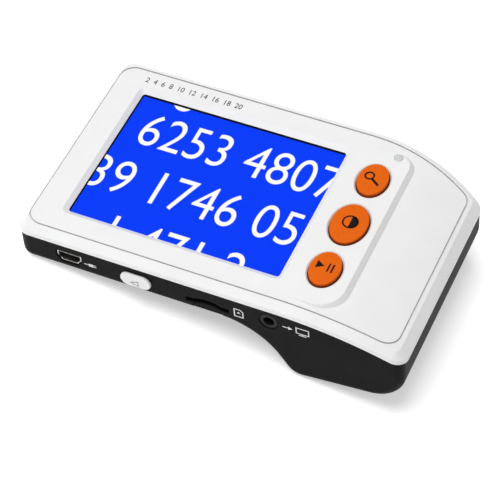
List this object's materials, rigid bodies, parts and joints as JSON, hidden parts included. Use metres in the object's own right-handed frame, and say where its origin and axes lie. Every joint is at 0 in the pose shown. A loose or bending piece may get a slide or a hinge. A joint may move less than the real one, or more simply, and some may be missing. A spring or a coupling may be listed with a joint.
{
  "type": "video magnifier",
  "caption": "Hand-held video magnifier: flat screen end in a white rim, oval keys, black casing with a deep grip, side sockets, slide switch and a camera underneath.",
  "frame": {"origin": "centre of the base of the object's box, under the middle of its length and width, level with the heel of the grip", "axes": "+Z out of the screen, +X from the thin screen end to the deep grip end, -Y to the side with the sockets"},
  "size_m": [0.1278, 0.0776, 0.0325],
  "materials": {
    "white_shell": "satin gloss moulded ABS",
    "black_shell": "fine matte moulded ABS",
    "orange_key": "satin moulded keys",
    "clear_window": "clear polished acrylic",
    "lcd_panel": "lit display picture",
    "white_film": "diffuser film",
    "sheet_steel": "plated sheet",
    "circuit_board": "solder mask",
    "flex_film": "amber film",
    "gold_contact": "plated",
    "black_part": "moulded",
    "pale_part": "moulded",
    "capacitor_body": "ceramic",
    "cell_jacket": "printed sleeve"
  },
  "bodies": {
    "casing": {"battery_cells": "cell_jacket", "board_screws": "sheet_steel", "camera_board": "circuit_board", "camera_flex": "flex_film", "camera_lens": "clear_window", "camera_window": "clear_window", "capacitors": "capacitor_body", "card_socket_base": "black_part", "card_socket_cover": "sheet_steel", "case_screws": "sheet_steel", "colour_switch": "black_part", "contact_plates": "sheet_steel", "contact_springs": "sheet_steel", "crystal": "capacitor_body", "display_window": "clear_window", "faceplate": "white_shell", "freeze_switch": "black_part", "image_sensor": "black_part", "indicator_lamp": "pale_part", "indicator_lens": "clear_window", "key_board": "circuit_board", "key_connector": "pale_part", "key_flex": "flex_film", "lamp_board": "circuit_board", "lamp_windows": "clear_window", "lamps": "pale_part", "lcd_backlight": "white_film", "lcd_connector": "pale_part", "lcd_flex": "flex_film", "lcd_frame": "sheet_steel", "lcd_glass": "lcd_panel", "lens_barrel": "black_part", "lens_holder": "black_part", "main_board": "circuit_board", "memory_chip": "black_part", "power_chip": "black_part", "power_inductor": "black_part", "processor_chip": "black_part", "rear_casing": "black_shell", "slide_switch": "black_part", "tv_jack": "black_part", "tv_jack_terminals": "gold_contact", "upper_casing": "white_shell", "usb_pins": "gold_contact", "usb_shell": "sheet_steel", "usb_tongue": "black_part", "zoom_switch": "black_part"},
    "zoom_key": {"zoom_key": "orange_key", "zoom_plunger": "pale_part"},
    "colour_key": {"colour_key": "orange_key", "colour_plunger": "pale_part"},
    "freeze_key": {"freeze_key": "orange_key", "freeze_plunger": "pale_part"},
    "power_knob": {"power_knob": "white_shell", "slide_switch_lever": "pale_part"},
    "battery_cover": {"battery_cover": "black_shell"}
  },
  "joints": [
    {"name": "zoom_press", "type": "slide", "parent": "casing", "child": "zoom_key", "axis": [0, 0, -1], "range_m": [0, 0.0005], "stiffness_N_per_m": 400, "springref_m": -0.0005},
    {"name": "colour_press", "type": "slide", "parent": "casing", "child": "colour_key", "axis": [0, 0, -1], "range_m": [0, 0.0005], "stiffness_N_per_m": 400, "springref_m": -0.0005},
    {"name": "freeze_press", "type": "slide", "parent": "casing", "child": "freeze_key", "axis": [0, 0, -1], "range_m": [0, 0.0005], "stiffness_N_per_m": 400, "springref_m": -0.0005},
    {"name": "power_slide", "type": "slide", "parent": "casing", "child": "power_knob", "axis": [-1, 0, 0], "range_m": [0, 0.002]},
    {"name": "cover_slide", "type": "slide", "parent": "casing", "child": "battery_cover", "axis": [0.9938, 0, 0.1115], "range_m": [0, 0.034]}
  ]
}
